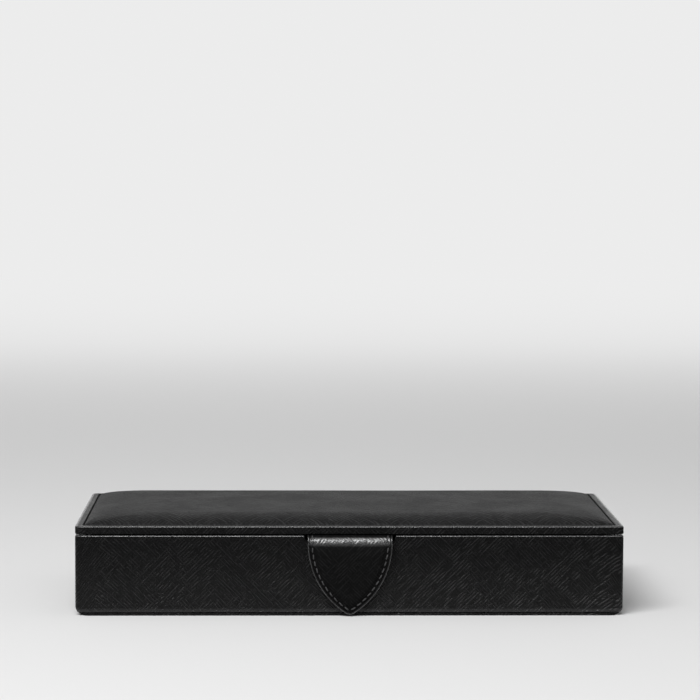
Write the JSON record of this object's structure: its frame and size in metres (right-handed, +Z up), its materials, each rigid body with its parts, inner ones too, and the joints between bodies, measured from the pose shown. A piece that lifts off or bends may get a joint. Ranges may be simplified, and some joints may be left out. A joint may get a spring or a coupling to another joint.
{
  "type": "cufflink box",
  "caption": "Long low leather-covered box with a padded hinged lid, a stitched shield-shaped front tongue that holds by a magnet, and a divided suede interior.",
  "frame": {"origin": "middle of the base panel's underside, where the closed box stands on a table", "axes": "+X along the box to the right seen from the front, -Y out of the front where the tongue is, +Z up"},
  "size_m": [0.215, 0.1017, 0.0386],
  "materials": {
    "case_leather": "satin black leather with a fine cross grain",
    "tongue_leather": "smooth satin black leather with grey stitching",
    "board": "dense grey board, bare",
    "suede": "matte charcoal suede",
    "foam": "soft foam",
    "steel": "bare",
    "brass": "polished"
  },
  "bodies": {
    "case": {"case_cover": "case_leather", "base_panel": "case_leather", "notch_facing": "case_leather", "front_board": "board", "rear_board": "board", "left_board": "board", "right_board": "board", "base_board": "board", "base_card": "board", "front_lining": "suede", "rear_lining": "suede", "left_lining": "suede", "right_lining": "suede", "floor_pad": "suede", "long_divider": "suede", "cross_divider_1": "suede", "cross_divider_2": "suede", "cross_divider_3": "suede", "cross_divider_4": "suede", "cross_divider_5": "suede", "striker_disc": "steel", "case_leaf_left": "brass", "case_leaf_right": "brass", "hinge_pin_left": "brass", "hinge_pin_right": "brass", "case_screw_left_a": "brass", "case_screw_left_b": "brass", "case_screw_right_a": "brass", "case_screw_right_b": "brass"},
    "lid": {"lid_cover": "case_leather", "pad_cover": "case_leather", "tongue_root": "tongue_leather", "tongue_bend": "tongue_leather", "lid_board": "board", "lid_lining": "suede", "pad_foam": "foam", "lid_leaf_left": "brass", "lid_leaf_right": "brass", "lid_screw_left_a": "brass", "lid_screw_left_b": "brass", "lid_screw_right_a": "brass", "lid_screw_right_b": "brass"},
    "tab": {"tab_face": "tongue_leather", "tab_backing": "tongue_leather", "tab_stiffener": "board", "tab_magnet": "steel"}
  },
  "joints": [
    {"name": "lid_hinge", "type": "hinge", "parent": "case", "child": "lid", "pos_m": [0, 0.0495, 0.03195], "axis": [-1, 0, 0], "range_deg": [0, 100]},
    {"name": "tab_fold", "type": "hinge", "parent": "lid", "child": "tab", "pos_m": [0, -0.0471, 0.0295], "axis": [-1, 0, 0], "range_deg": [0, 90], "deforming": ["tongue_bend"]}
  ]
}
